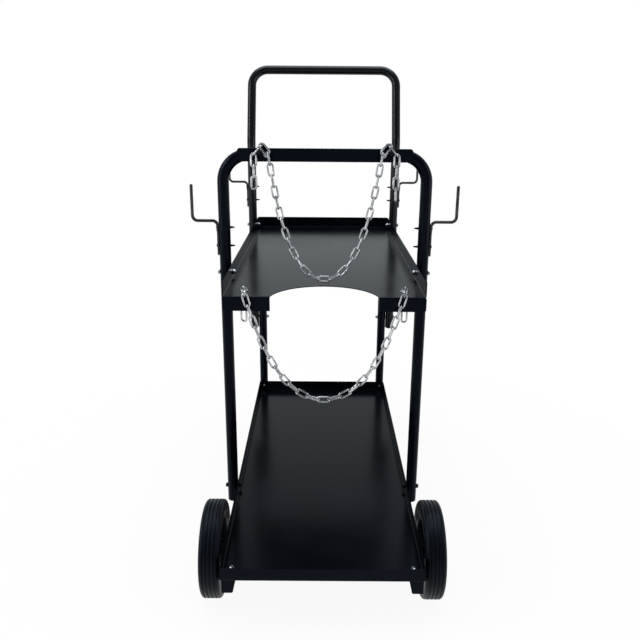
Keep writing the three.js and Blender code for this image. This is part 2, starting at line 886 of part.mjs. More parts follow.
// Links along a row of points, each turned a quarter about its length from the one before,
// and by the twist as well where the chain hangs twisted.
function chain(points, firstFlat, twist = 0) {
  const links = [];
  let flat = firstFlat;
  for (let i = 0; i < points.length - 1; i += 1) {
    const along = points[i + 1].clone().sub(points[i]).normalize();
    links.push(link(points[i], points[i + 1], flat));
    const next = points[Math.min(i + 2, points.length - 1)].clone().sub(points[i + 1]);
    const heading = next.lengthSq() > 0 ? next.normalize() : along;
    flat = heading.clone().cross(flat).normalize();
    flat.applyAxisAngle(heading, THREE.MathUtils.degToRad(twist));
  }
  return join(...links);
}

// Points of a chain of equal links hanging between two level points: the slope of each
// link differs from the one before by the same step, which is what a loose chain does.
function hangingPoints(count, pitch, span, from, y) {
  const slopes = (step) => Array.from({ length: count }, (_, i) => step * (i - (count - 1) / 2));
  const reach = (step) => slopes(step).reduce(
    (sum, slope) => sum + pitch / Math.hypot(1, slope), 0,
  );
  let low = 0;
  let high = 100;
  for (let i = 0; i < 80; i += 1) {
    const middle = (low + high) / 2;
    if (reach(middle) > span) low = middle;
    else high = middle;
  }
  const points = [new THREE.Vector3(-span / 2, y, from)];
  for (const slope of slopes(low)) {
    const run = pitch / Math.hypot(1, slope);
    const last = points[points.length - 1];
    points.push(new THREE.Vector3(last.x + run, y, last.z + run * slope));
  }
  return points;
}

const facing = new THREE.Vector3(0, 1, 0);

function upperChain() {
  const entry = THREE.MathUtils.degToRad(upperEntry);
  const entryX = upperPitch * Math.cos(entry);
  const entryZ = upperPitch * Math.sin(entry);
  const span = 2 * (pegX - entryX);
  const from = upperPeak - entryZ;
  const drape = hangingPoints(upperLinks, upperPitch, span, from, upperChainY);
  const left = new THREE.Vector3(-pegX, upperChainY, upperPeak);
  const right = new THREE.Vector3(pegX, upperChainY, upperPeak);
  return chain([left, ...drape, right], facing);
}

// The loose end past a peg: one link down the outside of the peg, the rest straight down.
function upperTail(side, count) {
  const entry = THREE.MathUtils.degToRad(upperEntry);
  const lean = THREE.MathUtils.degToRad(tailLean);
  const top = new THREE.Vector3(side * pegX, upperChainY, upperPeak);
  const drape = new THREE.Vector3(-side * Math.cos(entry), 0, -Math.sin(entry));
  const away = new THREE.Vector3(side * Math.cos(lean), 0, -Math.sin(lean));
  const start = top.clone().addScaledVector(drape, linkInside + linkApart);
  start.addScaledVector(away, linkInside);
  const points = [start, start.clone().addScaledVector(away, upperPitch)];
  for (let i = 0; i < count; i += 1) {
    const last = points[points.length - 1];
    points.push(last.clone().add(new THREE.Vector3(0, 0, -upperPitch)));
  }
  return chain(points, away.clone().cross(facing));
}

// The lower chain goes over the edge of the upper tray on links that stand on edge.
const lowerRestZ = upperFloor + sheet + chainHalf + seatGap;
const lowerPoints = hangingPoints(
  lowerLinks, lowerPitch, 2 * lowerRestX, lowerRestZ - linkInside, lowerChainY,
);

function lowerChain() {
  return chain(lowerPoints, facing);
}

// The end of the lower chain: down through the keyhole, and over the floor to the edge.
function lowerEnd(side) {
  const up = new THREE.Vector3(0, 0, 1);
  const slope = (lowerPoints[0].z - lowerPoints[1].z) / (lowerPoints[1].x - lowerPoints[0].x);
  const edgeX = lowerRestX - (linkWidth - linkWire) / 4 / slope;
  const edge = new THREE.Vector3(side * edgeX, lowerChainY, lowerRestZ);
  const keyY = upperNear + keyholeInset;
  const reach = new THREE.Vector3(side * keyholeX, keyY, lowerRestZ).sub(edge).normalize();
  edge.addScaledVector(reach, -linkInside - linkApart);
  const middle = edge.clone().addScaledVector(reach, lowerPitch);
  const hole = middle.clone().addScaledVector(reach, lowerPitch);
  const across = chain([edge, middle, hole], reach.clone().cross(up));
  const drop = [hole.clone().addScaledVector(reach, linkInside).addScaledVector(up, linkInside)];
  for (let i = 0; i < lowerTailLinks; i += 1) {
    drop.push(drop[i].clone().addScaledVector(up, -lowerPitch));
  }
  return join(across, chain(drop, reach.clone().cross(up), side * lowerTailTwist));
}

// The cart
const cart = new THREE.Group();
cart.name = 'welding_cart';

function add(name, body, material) {
  const mesh = new THREE.Mesh(surface(body), material);
  mesh.name = name;
  cart.add(mesh);
}

add('bottom_tray', bottomTray(), blackCoat);
add('upper_tray', upperTray(), blackCoat);
add('cylinder_frame', cylinderFrame(), blackCoat);
add('push_handle', pushHandle(), blackCoat);
add('crossbar', crossbar(), blackCoat);
add('axle', axle(), zinc);
add('upper_chain', upperChain(), zinc);
add('upper_chain_tail_left', upperTail(-1, tailLinksLeft), zinc);
add('upper_chain_tail_right', upperTail(1, tailLinksRight), zinc);
add('lower_chain', lowerChain(), zinc);

for (const [hand, side] of [['left', -1], ['right', 1]]) {
  const outer = side * (frameX + tubeRadius);
  const trayInner = side * (trayHalf - sheet);
  const legInner = side * (legX - tubeRadius);
  add(`lower_leg_${hand}`, lowerLeg(side), blackCoat);
  add(`chain_peg_${hand}`, chainPeg(side), blackCoat);
  add(`cable_hook_near_${hand}`, cableHook(side, frameY, nearHookHeight), blackCoat);
  add(`cable_hook_far_${hand}`, cableHook(side, handleY, farHookHeight), blackCoat);
  add(`axle_bracket_${hand}`, axleBracket(side), blackCoat);
  add(`rear_rim_${hand}`, wheelRim(side), blackPlastic);
  add(`rear_tyre_${hand}`, wheelTyre(side), rubber);
  add(`axle_nut_${hand}`, axleNut(side), zinc);
  add(`caster_stem_${hand}`, casterStem(side), zinc);
  add(`caster_fork_${hand}`, casterFork(side), zinc);
  add(`caster_axle_${hand}`, casterAxle(side), zinc);
  add(`caster_wheel_${hand}`, casterWheel(side), blackPlastic);
  add(`caster_tyre_${hand}`, casterTyre(side), rubber);
  add(`lower_chain_end_${hand}`, lowerEnd(side), zinc);
  add(`frame_bolt_low_${hand}`, bolt('x', outer, trayInner, [frameY, frameBoltLow]), zinc);
  add(`frame_bolt_high_${hand}`, bolt('x', outer, trayInner, [frameY, trayBoltHigh]), zinc);
  add(`handle_bolt_${hand}`, bolt('x', outer, trayInner, [handleY, trayBoltHigh]), zinc);
  add(`leg_bolt_low_${hand}`, bolt('x', outer, legInner, [handleY, legBoltLow]), zinc);
  add(`leg_bolt_high_${hand}`, bolt('x', outer, legInner, [handleY, legBoltHigh]), zinc);
  const legBack = handleY + tubeRadius;
  const flangeFace = bottomFar - sheet;
  add(`tray_bolt_${hand}`, bolt('y', legBack, flangeFace, [side * legX, frameBoltLow]), zinc);
  const bracketAt = [side * bracketBoltX, bracketBoltY];
  const floorTop = bottomFloor + sheet;
  add(`bracket_bolt_${hand}`, bolt('z', floorTop, bracketTop - bracketWall, bracketAt), zinc);
  const barAt = [side * barBoltX, frameTop];
  add(`crossbar_bolt_${hand}`, bolt('y', barFront, frameY + tubeRadius, barAt), zinc);
  add(`frame_plug_${hand}`, tubePlug(side * frameX, frameY, frameBottom), blackPlastic);
  add(`handle_plug_${hand}`, tubePlug(side * frameX, handleY, handleBottom), blackPlastic);
}

// The origin is on the ground, in the middle of the cart's length.
cart.position.y = -(bottomNear + handleTopY + tubeRadius) / 2;

export default cart;
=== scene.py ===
# %% [markdown]
# # A welding cart
# Two pressed trays hang between bent steel tubes. Gas cylinders stand on the lower tray and two
# chains hold them in. The solids arrive ready made and stand in the right place, so this lesson
# is about what the eye adds: rounder tubes, real chain links, rolled edges and honest finishes.

# %% Load the cart
import json
import math

import bmesh
import bpy
from mathutils import Matrix, Vector


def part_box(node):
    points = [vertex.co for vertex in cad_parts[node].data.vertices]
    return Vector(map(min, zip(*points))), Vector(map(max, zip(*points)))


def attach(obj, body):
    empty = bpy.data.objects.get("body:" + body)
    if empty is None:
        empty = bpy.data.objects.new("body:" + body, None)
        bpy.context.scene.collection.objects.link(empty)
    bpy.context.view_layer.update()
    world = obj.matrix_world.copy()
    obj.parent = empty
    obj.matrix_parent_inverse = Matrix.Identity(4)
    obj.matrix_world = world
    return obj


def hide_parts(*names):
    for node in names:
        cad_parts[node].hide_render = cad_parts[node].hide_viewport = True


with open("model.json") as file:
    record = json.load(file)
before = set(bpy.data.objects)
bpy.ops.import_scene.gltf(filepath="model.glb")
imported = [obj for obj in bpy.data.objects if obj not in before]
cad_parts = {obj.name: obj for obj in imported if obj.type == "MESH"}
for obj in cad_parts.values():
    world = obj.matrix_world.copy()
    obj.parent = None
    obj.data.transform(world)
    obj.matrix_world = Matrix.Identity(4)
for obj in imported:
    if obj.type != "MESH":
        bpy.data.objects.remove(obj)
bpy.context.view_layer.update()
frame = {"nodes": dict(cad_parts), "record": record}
nodes = frame["nodes"]

# %% [markdown]
# ## Where things are
# The cart was measured from its rear axle, in millimetres. Blender works in metres, and the
# origin is under the middle of the cart, so one small function turns a measured place into a
# Blender place. Every size below can then be read with a ruler in hand.

# %% From millimetres at the axle to metres in the scene
axle_to_middle = -355.7703


def at(x, y, z):
    return Vector((x, y + axle_to_middle, z)) * 0.001


def mm(length):
    return length * 0.001


print("rear axle is at", [round(value, 4) for value in at(0, 0, 89)])

# %% [markdown]
# ## Camera
# The photographer stood behind the cart, lens at hip height, and looked down at it by 17 degrees.
# A camera looks along its own -Z with +Y up, so its three directions are worked out first and
# go into the matrix as columns. The tiny roll is the tilt of a hand-held picture.

# %% The photographer's place
sensor_mm = 36
picture_pixels = 640
focal_pixels = 694.2
camera_place = at(-9.09, -1121.5, 881.6)
pitch = math.radians(17.07)
yaw = math.radians(0.089)
roll = math.radians(0.414)
ahead = Vector((
    math.sin(yaw) * math.cos(pitch),
    math.cos(yaw) * math.cos(pitch),
    -math.sin(pitch),
))
level = Vector((math.cos(yaw), -math.sin(yaw), 0))
upright = level.cross(ahead)
camera_right = level * math.cos(roll) + upright * math.sin(roll)
camera_up = upright * math.cos(roll) - level * math.sin(roll)

camera_data = bpy.data.cameras.new("camera")
camera_data.sensor_width = sensor_mm
camera_data.lens = sensor_mm * focal_pixels / picture_pixels
camera = bpy.data.objects.new("camera", camera_data)
turn = Matrix((camera_right, camera_up, -ahead)).transposed().to_4x4()
camera.matrix_world = Matrix.Translation(camera_place) @ turn
bpy.context.scene.collection.objects.link(camera)
bpy.context.scene.camera = camera
print("lens", round(camera_data.lens, 2), "mm")

# %% [markdown]
# ## Tools for materials
# Colours are written as the hex values that a colour picker shows and turned into the linear
# values that the shader counts in. `put` adds one node, sets it up and links its inputs, which
# keeps each recipe below as short as a list of ingredients.

# %% Colour and node helpers


def hex_colour(text):
    parts = [int(text[i:i + 2], 16) / 255 for i in (1, 3, 5)]
    linear = [p / 12.92 if p <= 0.04045 else ((p + 0.055) / 1.055) ** 2.4 for p in parts]
    return (*linear, 1.0)


def put(tree, kind, inputs=None, **settings):
    made = tree.nodes.new("ShaderNode" + kind)
    for name, value in settings.items():
        setattr(made, name, value)
    for name, value in (inputs or {}).items():
        if isinstance(value, bpy.types.NodeSocket):
            tree.links.new(value, made.inputs[name])
        else:
            made.inputs[name].default_value = value
    return made


def ramp(tree, factor, stops):
    made = put(tree, "ValToRGB", {"Fac": factor})
    elements = made.color_ramp.elements
    while len(elements) < len(stops):
        elements.new(0.5)
    for element, (place, colour) in zip(elements, stops):
        element.position = place
        element.color = colour if isinstance(colour, tuple) else (colour, colour, colour, 1)
    return made.outputs["Color"]


def new_finish(name):
    material = bpy.data.materials.new(name)
    material.use_nodes = True
    tree = material.node_tree
    tree.nodes.clear()
    place = put(tree, "TexCoord").outputs["Object"]
    return material, tree, place


def close_finish(tree, shader):
    put(tree, "OutputMaterial", {"Surface": shader.outputs["BSDF"]})


print("black reads as", [round(value, 4) for value in hex_colour("#101214")[:3]])

# %% [markdown]
# ## Powder coat
# The steel is coated with black polyester powder, sprayed on dry and baked. The powder melts
# into a skin with a fine ripple like orange peel, about a millimetre and a half across, which
# breaks up every reflection. A little dust dulls it in wide soft patches. The ripple is drawn
# twice as coarse as it really is, so that it shows at the size of the picture. The handle takes
# a copy of the same powder with a lighter, less blue base colour. That lighter colour is painted
# light, standing in for the brighter sheen the handle catches up high. It is also glossier.

# %% Polyester powder coat, for the cart and for its handle
ripple_size = mm(3.0)
dust_size = mm(160)


def powder_finish(name, dark, light, shine, tint):
    material, tree, place = new_finish(name)
    ripple = put(tree, "TexNoise", {"Vector": place, "Scale": 1 / ripple_size, "Detail": 2.0})
    dust = put(tree, "TexNoise", {
        "Vector": place,
        "Scale": 1 / dust_size,
        "Detail": 6.0,
        "Roughness": 0.6,
    })
    colour = ramp(tree, dust.outputs["Fac"], [
        (0.30, hex_colour(dark)),
        (0.72, hex_colour(light)),
    ])
    gloss = ramp(tree, dust.outputs["Fac"], [(0.25, 0.16), (0.75, 0.23)])
    peel = put(tree, "Bump", {
        "Height": ripple.outputs["Fac"],
        "Strength": 0.12,
        "Distance": mm(0.25),
    })
    coat = put(tree, "BsdfPrincipled", {
        "Base Color": colour,
        "Roughness": gloss,
        "Normal": peel.outputs["Normal"],
        "IOR": 1.5,
        "Specular IOR Level": shine,
        "Specular Tint": hex_colour(tint),
    })
    close_finish(tree, coat)
    return material


powder_coat = powder_finish("polyester_powder_coat", "#020509", "#080c12", 0.11, "#a3b6da")
# the handle's lighter base colour is painted light: a lit copy of the same black powder
handle_coat_painted_lighter = powder_finish("handle_powder_coat_painted_lighter", "#080a0b", "#101213", 0.26, "#cfdae4")
print("finishes:", powder_coat.name, handle_coat_painted_lighter.name)

# %% [markdown]
# ## Zinc
# The chains, bolts and casters are steel with a bright zinc plating. Fresh zinc is a slightly
# bluish silver, with a faint cloudiness and fine pits. On the chain the clouds run much darker,
# and those dark clouds are painted shade: they darken the links at random to give the contrast
# of a wire's shaded sides. Two of the bolts and the hook screws are zinc too, but dipped in a
# black passivation, so they hide against the black steel.

# %% Zinc plated steel, bright and black


def zinc_plating(name, light, dark, dull, bright, cloud_mm):
    material, tree, place = new_finish(name)
    cloud = put(tree, "TexNoise", {"Vector": place, "Scale": 1 / mm(cloud_mm), "Detail": 4.0})
    grit = put(tree, "TexNoise", {"Vector": place, "Scale": 1 / mm(0.9), "Detail": 3.0})
    colour = ramp(tree, cloud.outputs["Fac"], [
        (0.3, hex_colour(dark)),
        (0.7, hex_colour(light)),
    ])
    gloss = ramp(tree, grit.outputs["Fac"], [(0.3, bright), (0.75, dull)])
    pits = put(tree, "Bump", {
        "Height": grit.outputs["Fac"],
        "Strength": 0.15,
        "Distance": mm(0.12),
    })
    metal = put(tree, "BsdfPrincipled", {
        "Base Color": colour,
        "Metallic": 1.0,
        "Roughness": gloss,
        "Normal": pits.outputs["Normal"],
    })
    close_finish(tree, metal)
    return material


# the chain's dark clouds are painted shade, there for the contrast of the wire's shaded sides
chain_zinc = zinc_plating("zinc_plated_chain_steel", "#c2c4c6", "#74777b", 0.24, 0.12, 14)
bolt_zinc = zinc_plating("zinc_plated_bolt_steel", "#a4aab0", "#777d84", 0.30, 0.16, 6)
bolt_black = zinc_plating("black_passivated_bolt_steel", "#2b2e31", "#191b1e", 0.42, 0.28, 6)
fork_zinc = zinc_plating("zinc_plated_pressed_steel", "#c2c6c9", "#9ba1a6", 0.42, 0.26, 22)
print("finishes:", chain_zinc.name, bolt_zinc.name, bolt_black.name, fork_zinc.name)

# %% [markdown]
# ## Rubber and plastic
# The tyres are solid moulded rubber: matt, a shade lighter where dust sits, with a fine skin
# from the mould. The rims and tube plugs are moulded black plastic, which is smoother than the
# rubber and has the soft sheen of polypropylene.

# %% Moulded rubber and moulded polypropylene
tyre_rubber, tree, place = new_finish("moulded_tyre_rubber")
rubber_dust = put(tree, "TexNoise", {"Vector": place, "Scale": 1 / mm(30), "Detail": 6.0})
rubber_skin = put(tree, "TexNoise", {"Vector": place, "Scale": 1 / mm(1.6), "Detail": 3.0})
rubber_colour = ramp(tree, rubber_dust.outputs["Fac"], [
    (0.30, hex_colour("#020408")),
    (0.75, hex_colour("#080d13")),
])
rubber_gloss = ramp(tree, rubber_dust.outputs["Fac"], [(0.3, 0.36), (0.7, 0.48)])
rubber_bump = put(tree, "Bump", {
    "Height": rubber_skin.outputs["Fac"],
    "Strength": 0.25,
    "Distance": mm(0.3),
})
rubber = put(tree, "BsdfPrincipled", {
    "Base Color": rubber_colour,
    "Roughness": rubber_gloss,
    "Normal": rubber_bump.outputs["Normal"],
    "IOR": 1.52,
    "Specular IOR Level": 0.16,
    "Specular Tint": hex_colour("#aebfda"),
})
close_finish(tree, rubber)

rim_plastic, tree, place = new_finish("moulded_polypropylene")
plastic_grain = put(tree, "TexNoise", {"Vector": place, "Scale": 1 / mm(1.2), "Detail": 2.0})
plastic_shade = put(tree, "TexNoise", {"Vector": place, "Scale": 1 / mm(45), "Detail": 4.0})
plastic_colour = ramp(tree, plastic_shade.outputs["Fac"], [
    (0.3, hex_colour("#06080b")),
    (0.7, hex_colour("#0d1115")),
])
plastic_gloss = ramp(tree, plastic_grain.outputs["Fac"], [(0.3, 0.38), (0.7, 0.48)])
plastic_bump = put(tree, "Bump", {
    "Height": plastic_grain.outputs["Fac"],
    "Strength": 0.12,
    "Distance": mm(0.2),
})
plastic = put(tree, "BsdfPrincipled", {
    "Base Color": plastic_colour,
    "Roughness": plastic_gloss,
    "Normal": plastic_bump.outputs["Normal"],
    "IOR": 1.49,
    "Specular IOR Level": 0.18,
    "Specular Tint": hex_colour("#b4c4de"),
})
close_finish(tree, plastic)
print("finishes:", tyre_rubber.name, rim_plastic.name)

# %% [markdown]
# ## From a bmesh to a piece
# Each piece is shaped in a bmesh and then becomes an object at the origin, with its place in its
# mesh. Faces are shaded smooth and only edges sharper than a set angle stay crisp. The same
# function says which body the piece moves with, which solid it stands for and which finish it
# takes, so that no piece is left behind when a wheel turns or a chain swings. Three small tools
# come with it: one joins shapes, one rounds edges, and one pulls the open rim of a tube further
# and can make it wider or thinner on the way.

# %% Turning a bmesh into a finished piece
body_of_node = {}
for body, found in frame["record"]["behaviour"]["bodies"].items():
    for node in found:
        body_of_node[node] = body
weld_distance = mm(0.002)


def make_piece(shape, name, finish, stands_for=(), body=None, crisp=35):
    bmesh.ops.remove_doubles(shape, verts=shape.verts, dist=weld_distance)
    for edge in shape.edges:
        fold = edge.calc_face_angle(0) if len(edge.link_faces) == 2 else math.pi
        edge.smooth = fold < math.radians(crisp)
    for face in shape.faces:
        face.smooth = True
    mesh = bpy.data.meshes.new(name)
    shape.to_mesh(mesh)
    shape.free()
    mesh.materials.append(finish)
    piece = bpy.data.objects.new(name, mesh)
    bpy.context.scene.collection.objects.link(piece)
    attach(piece, body or body_of_node[stands_for[0]])
    if stands_for:
        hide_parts(*stands_for)
    return piece


def outwards(shape):
    bmesh.ops.remove_doubles(shape, verts=shape.verts, dist=weld_distance)
    bmesh.ops.recalc_face_normals(shape, faces=shape.faces)


def gather(*shapes):
    whole = bmesh.new()
    for shape in shapes:
        carrier = bpy.data.meshes.new("carrier")
        shape.to_mesh(carrier)
        shape.free()
        whole.from_mesh(carrier)
        bpy.data.meshes.remove(carrier)
    return whole


def round_edges(shape, edges, radius_mm, segments=2):
    bmesh.ops.bevel(
        shape, geom=edges, offset=mm(radius_mm), offset_type="OFFSET", segments=segments,
        profile=0.5, affect="EDGES", clamp_overlap=True, material=-1,
    )


def pull_rim(shape, rim, move, resize=None):
    pulled = bmesh.ops.extrude_edge_only(shape, edges=rim)["geom"]
    moved = [v for v in pulled if isinstance(v, bmesh.types.BMVert)]
    if resize:
        centre = sum((v.co for v in moved), Vector()) / len(moved)
        bmesh.ops.scale(shape, vec=resize, verts=moved, space=Matrix.Translation(-centre))
    bmesh.ops.translate(shape, verts=moved, vec=move)
    fresh = set(moved)
    edges = [e for e in pulled if isinstance(e, bmesh.types.BMEdge)]
    return [e for e in edges if all(v in fresh for v in e.verts)]


# %% [markdown]
# ## Pressed sheet
# The trays, crossbar, brackets and caster forks are cut and folded sheet. The solids have the
# right folds but knife-sharp edges, and no real edge is that sharp: it catches a thin line of
# light. A copy of the solid is welded together, its flat triangles are dissolved back into whole
# faces, and only its sharp edges are bevelled, which is what a press and a coat of powder leave.

# %% Copies of the sheet pieces with softened edges


def softened_copy(node, finish, round_mm):
    shape = bmesh.new()
    shape.from_mesh(nodes[node].data)
    bmesh.ops.remove_doubles(shape, verts=shape.verts, dist=mm(0.01))
    bmesh.ops.dissolve_limit(
        shape, angle_limit=math.radians(0.6), verts=shape.verts, edges=shape.edges,
    )
    inner = [e for e in shape.edges if len(e.link_faces) == 2]
    round_edges(shape, [e for e in inner if e.calc_face_angle(0) > math.radians(50)], round_mm)
    piece = make_piece(shape, node + "_sheet", finish, (node,), crisp=40)
    even = piece.modifiers.new("even_shading", "WEIGHTED_NORMAL")
    even.keep_sharp = True
    return piece


sheet_nodes = [
    "bottom_tray", "upper_tray", "crossbar", "axle_bracket_left", "axle_bracket_right",
]
for node in sheet_nodes:
    piece = softened_copy(node, powder_coat, 0.35)
    print(piece.name, len(piece.data.polygons), "faces")
for node in ["caster_fork_left", "caster_fork_right"]:
    piece = softened_copy(node, fork_zinc, 0.5)
    print(piece.name, len(piece.data.polygons), "faces")

# %% [markdown]
# ## Bent tubes
# A bender draws the tube round a wheel, so a bend is a piece of a circle and the straight runs
# touch it smoothly. That is what extrude and spin do: a circle is pulled along the straight run
# and then spun about the centre of each bend. Solidify gives the wall, so the open ends are real.

# %% One function for every bent tube and rod
tube_radius = 11
tube_wall = 1.5


def bent_line(shape, corners, bends, radius, sides=28, steps=12):
    points = [Vector(corner) for corner in corners]
    heading = (points[1] - points[0]).normalized()
    turn = heading.to_track_quat("Z", "Y").to_matrix().to_4x4()
    bmesh.ops.create_circle(
        shape, cap_ends=False, segments=sides, radius=radius,
        matrix=Matrix.Translation(points[0]) @ turn,
    )
    rim = shape.edges[:]
    here = points[0]
    for before, corner, after, bend in zip(points, points[1:], points[2:], bends):
        heading = (corner - before).normalized()
        leaving = (after - corner).normalized()
        angle = heading.angle(leaving)
        stop = corner - heading * bend * math.tan(angle / 2)
        rim = pull_rim(shape, rim, stop - here)
        inward = (leaving - heading * leaving.dot(heading)).normalized()
        centre = stop + inward * bend
        axis = heading.cross(leaving).normalized()
        spun = bmesh.ops.spin(
            shape, geom=rim, cent=centre, axis=axis, angle=angle, steps=steps,
            use_merge=False, use_duplicate=False,
        )["geom_last"]
        rim = [e for e in spun if isinstance(e, bmesh.types.BMEdge)]
        here = centre + Matrix.Rotation(angle, 3, axis) @ (stop - centre)
    return pull_rim(shape, rim, points[-1] - here)


def bent_tube(name, node, corners, bends, finish=powder_coat):
    shape = bmesh.new()
    bent_line(shape, corners, bends, mm(tube_radius))
    outwards(shape)
    bmesh.ops.solidify(shape, geom=shape.faces[:], thickness=mm(tube_wall))
    piece = make_piece(shape, name, finish, (node,), crisp=50)
    return piece


print("tube", 2 * tube_radius, "mm across with a wall of", tube_wall, "mm")

# %% The cylinder frame, the push handle and the two lower legs
hands = {"left": -1, "right": 1}
frame_x = 188.8
frame_y = 185.0
frame_low_z = 82
frame_top_z = 797.5
frame_bend = mm(50)

handle_y = 749.3
handle_top_y = 813.54
handle_low_z = 289
handle_knee_z = 797
handle_top_z = 973.5
knee_bend = mm(60)
grip_bend = mm(42)

leg_x = 166.5
leg_low_z = 80
leg_high_z = 410

bent_tube("cylinder_frame_tube", "cylinder_frame", [
    at(-frame_x, frame_y, frame_low_z),
    at(-frame_x, frame_y, frame_top_z),
    at(frame_x, frame_y, frame_top_z),
    at(frame_x, frame_y, frame_low_z),
], [frame_bend, frame_bend])
bent_tube("push_handle_tube", "push_handle", [
    at(-frame_x, handle_y, handle_low_z),
    at(-frame_x, handle_y, handle_knee_z),
    at(-frame_x, handle_top_y, handle_top_z),
    at(frame_x, handle_top_y, handle_top_z),
    at(frame_x, handle_y, handle_knee_z),
    at(frame_x, handle_y, handle_low_z),
], [knee_bend, grip_bend, grip_bend, knee_bend], handle_coat_painted_lighter)
for hand, side in hands.items():
    bent_tube("lower_leg_tube_" + hand, "lower_leg_" + hand, [
        at(side * leg_x, handle_y, leg_low_z),
        at(side * leg_x, handle_y, leg_high_z),
    ], [])

# %% [markdown]
# ## Chain
# Each link is a length of wire bent to a long ring and welded shut on one side. The ring is one
# circle of wire spun half a turn, pulled straight, spun again and joined up; the weld is a small
# swelling in the middle of one straight side. Each chain has one pattern link, and copies of it
# go along the line on which equal links hang: the slope grows by the same step from each link to
# the next, and the step is found by halving until the chain just spans its two ends.

# %% One link, and the line it hangs on
upper_pitch = 19.5
lower_pitch = 20.3
link_wire = 3.5
link_width = 12.9
link_bite = 0.3


def one_link(pitch):
    shape = bmesh.new()
    bend = mm(link_width - link_wire) / 2
    reach = mm((pitch - link_bite) / 2 + link_wire / 2) - bend
    bmesh.ops.create_circle(
        shape, cap_ends=False, segments=10, radius=mm(link_wire / 2),
        matrix=Matrix.Translation((reach, 0, bend)) @ Matrix.Rotation(math.radians(90), 4, "Y"),
    )
    rim = shape.edges[:]
    for way in (1, -1):
        end = bmesh.ops.spin(
            shape, geom=rim, cent=(way * reach, 0, 0), axis=(0, 1, 0), angle=math.pi,
            steps=9, use_merge=False, use_duplicate=False,
        )["geom_last"]
        rim = [e for e in end if isinstance(e, bmesh.types.BMEdge)]
        for _ in range(4):
            rim = pull_rim(shape, rim, (-way * reach / 2, 0, 0))
    outwards(shape)
    weld = [v for v in shape.verts if abs(v.co.x) < mm(0.1) and v.co.z < 0]
    bmesh.ops.scale(
        shape, vec=(1, 1.12, 1.12), verts=weld, space=Matrix.Translation((0, 0, bend)),
    )
    return shape


def hanging_points(count, pitch, span, high, y):
    def slopes(step):
        return [step * (i - (count - 1) / 2) for i in range(count)]

    low_step, high_step = 0.0, 100.0
    for _ in range(80):
        middle = (low_step + high_step) / 2
        reach = sum(pitch / math.hypot(1, slope) for slope in slopes(middle))
        low_step, high_step = (middle, high_step) if reach > span else (low_step, middle)
    points = [Vector((-span / 2, y, high))]
    for slope in slopes(low_step):
        run = pitch / math.hypot(1, slope)
        points.append(points[-1] + Vector((run, 0, run * slope)))
    return points


def pattern_link(name, pitch):
    shape = one_link(pitch)
    mesh = bpy.data.meshes.new(name)
    shape.to_mesh(mesh)
    shape.free()
    return mesh


upper_link = pattern_link("upper_link", upper_pitch)
lower_link = pattern_link("lower_link", lower_pitch)
print("one link has", len(upper_link.polygons), "faces")

# %% [markdown]
# ## Laying the links
# Every second link is turned a quarter about its own length, as on any chain. The upper chain
# goes over a peg at each side and its loose ends hang down outside. The lower chain goes over
# the edge of the upper tray, and its ends drop through keyholes in the floor, where nothing
# keeps them from twisting a little further with every link.

# %% Copies of the link along a row of points


def lay_links(points, flat, link_mesh, twist=0):
    links = []
    for i in range(len(points) - 1):
        along = (points[i + 1] - points[i]).normalized()
        across = along.cross(flat).normalized()
        normal = across.cross(along).normalized()
        turn = Matrix((along, normal, across)).transposed().to_4x4()
        middle = (points[i] + points[i + 1]) / 2
        copy = bmesh.new()
        copy.from_mesh(link_mesh)
        copy.transform(Matrix.Translation(at(*middle)) @ turn)
        links.append(copy)
        after = points[min(i + 2, len(points) - 1)] - points[i + 1]
        heading = after.normalized() if after.length > 0 else along
        flat = Matrix.Rotation(twist, 3, heading) @ heading.cross(flat).normalized()
    return links


def chain_piece(node, rows, link_mesh):
    links = []
    for points, flat, *twist in rows:
        links += lay_links(points, flat, link_mesh, *twist)
    shape = gather(*links)
    piece = make_piece(shape, node + "_links", chain_zinc, (node,), crisp=60)
    return piece


# the middle of a wire lies this far past the point where two links meet
inside = (link_wire - link_bite) / 2
# a loose end keeps this far from the drape, so that the two do not touch
apart = link_bite + 0.3

facing = Vector((0, 1, 0))
peg_x = 113.6
peak_z = 818
upper_chain_y = 130.0
# slopes of the link over the peg and of the first link of a tail
entry = math.radians(49)
lean = math.radians(48)
upper_links = 27
plumb_tail_links = {"left": 3, "right": 4}

drape = hanging_points(
    upper_links, upper_pitch, 2 * (peg_x - upper_pitch * math.cos(entry)),
    peak_z - upper_pitch * math.sin(entry), upper_chain_y,
)
over_left = Vector((-peg_x, upper_chain_y, peak_z))
over_right = Vector((peg_x, upper_chain_y, peak_z))
chain_piece("upper_chain", [([over_left, *drape, over_right], facing)], upper_link)

for hand, side in hands.items():
    inward = Vector((-side * math.cos(entry), 0, -math.sin(entry)))
    away = Vector((side * math.cos(lean), 0, -math.sin(lean)))
    peak = Vector((side * peg_x, upper_chain_y, peak_z))
    start = peak + inward * (inside + apart) + away * inside
    tail = [start, start + away * upper_pitch]
    for _ in range(plumb_tail_links[hand]):
        tail.append(tail[-1] + Vector((0, 0, -upper_pitch)))
    chain_piece("upper_chain_tail_" + hand, [(tail, away.cross(facing))], upper_link)

# %% The lower chain and its two ends
rest_x = 138
keyhole_x = 144
keyhole_y = 73.0
lower_chain_y = 30.95
rest_z = 573.75
lower_links = 25
end_links = 3
end_twist = math.radians(36)
low_points = hanging_points(lower_links, lower_pitch, 2 * rest_x, rest_z - inside, lower_chain_y)
chain_piece("lower_chain", [(low_points, facing)], lower_link)

